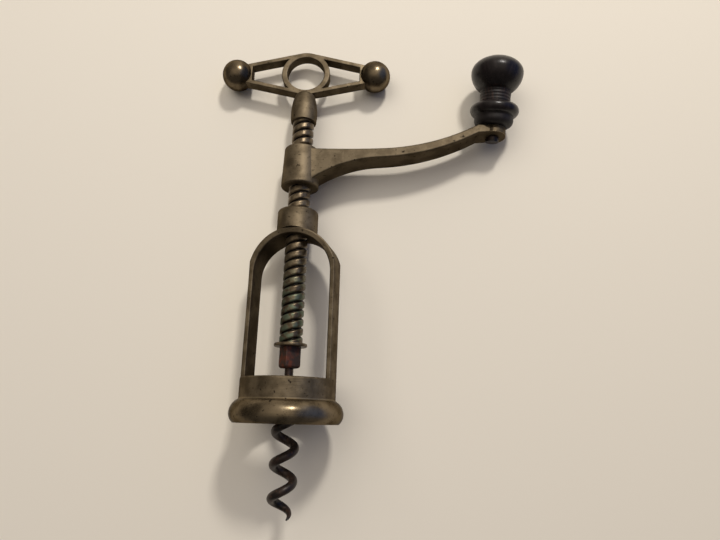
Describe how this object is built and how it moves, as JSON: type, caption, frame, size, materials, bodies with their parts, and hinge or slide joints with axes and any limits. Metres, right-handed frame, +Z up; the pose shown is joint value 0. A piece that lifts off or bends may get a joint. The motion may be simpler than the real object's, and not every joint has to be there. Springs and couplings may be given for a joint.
{
  "type": "crank corkscrew",
  "caption": "Crank corkscrew: a bell frame stands on the bottle, a T-handle turns the worm in, and a side crank with a wooden knob lifts the screw and pulls the cork.",
  "frame": {"origin": "centre of the bell's foot, on the screw's axis, at the plane of the flange's bottom", "axes": "+Z up along the screw's axis towards the T-handle, +X along the arch towards the crank's side, +Y away from the viewer"},
  "size_m": [0.1278, 0.0427, 0.1886],
  "materials": {
    "aged_brass": "aged brass with a dark olive-brown patina, worn bright on the edges",
    "screw_brass": "dark worn brass with green verdigris in the thread",
    "rusty_iron": "iron with red-brown rust",
    "dark_iron": "near-black iron with a little rust",
    "ebonised_wood": "turned wood, stained black and polished"
  },
  "bodies": {
    "frame": {"bell_frame": "aged_brass"},
    "lift": {"stop_washer": "screw_brass"},
    "shaft": {"threaded_shaft": "screw_brass", "top_handle": "aged_brass", "worm_socket": "rusty_iron", "worm": "dark_iron"},
    "crank": {"crank_arm": "aged_brass", "knob_pin": "dark_iron"},
    "knob": {"wooden_knob": "ebonised_wood"}
  },
  "joints": [
    {"name": "crank_turn", "type": "hinge", "parent": "frame", "child": "crank", "pos_m": [0, 0, 0.1], "axis": [0, 0, -1], "range_deg": [-540, 1980]},
    {"name": "shaft_lift", "type": "slide", "parent": "frame", "child": "lift", "axis": [0, 0, 1], "range_m": [-0.01055, 0.0386]},
    {"name": "handle_turn", "type": "hinge", "parent": "lift", "child": "shaft", "pos_m": [0, 0, 0.1458], "axis": [0, 0, 1], "continuous": true},
    {"name": "knob_spin", "type": "hinge", "parent": "crank", "child": "knob", "pos_m": [0.07849, 0.01384, 0.1201], "axis": [0.1075, -0.2301, 0.9672], "continuous": true}
  ],
  "couplings": [
    {"joint": "shaft_lift", "follows": "crank_turn", "m_per_rad": 0.0011141}
  ]
}
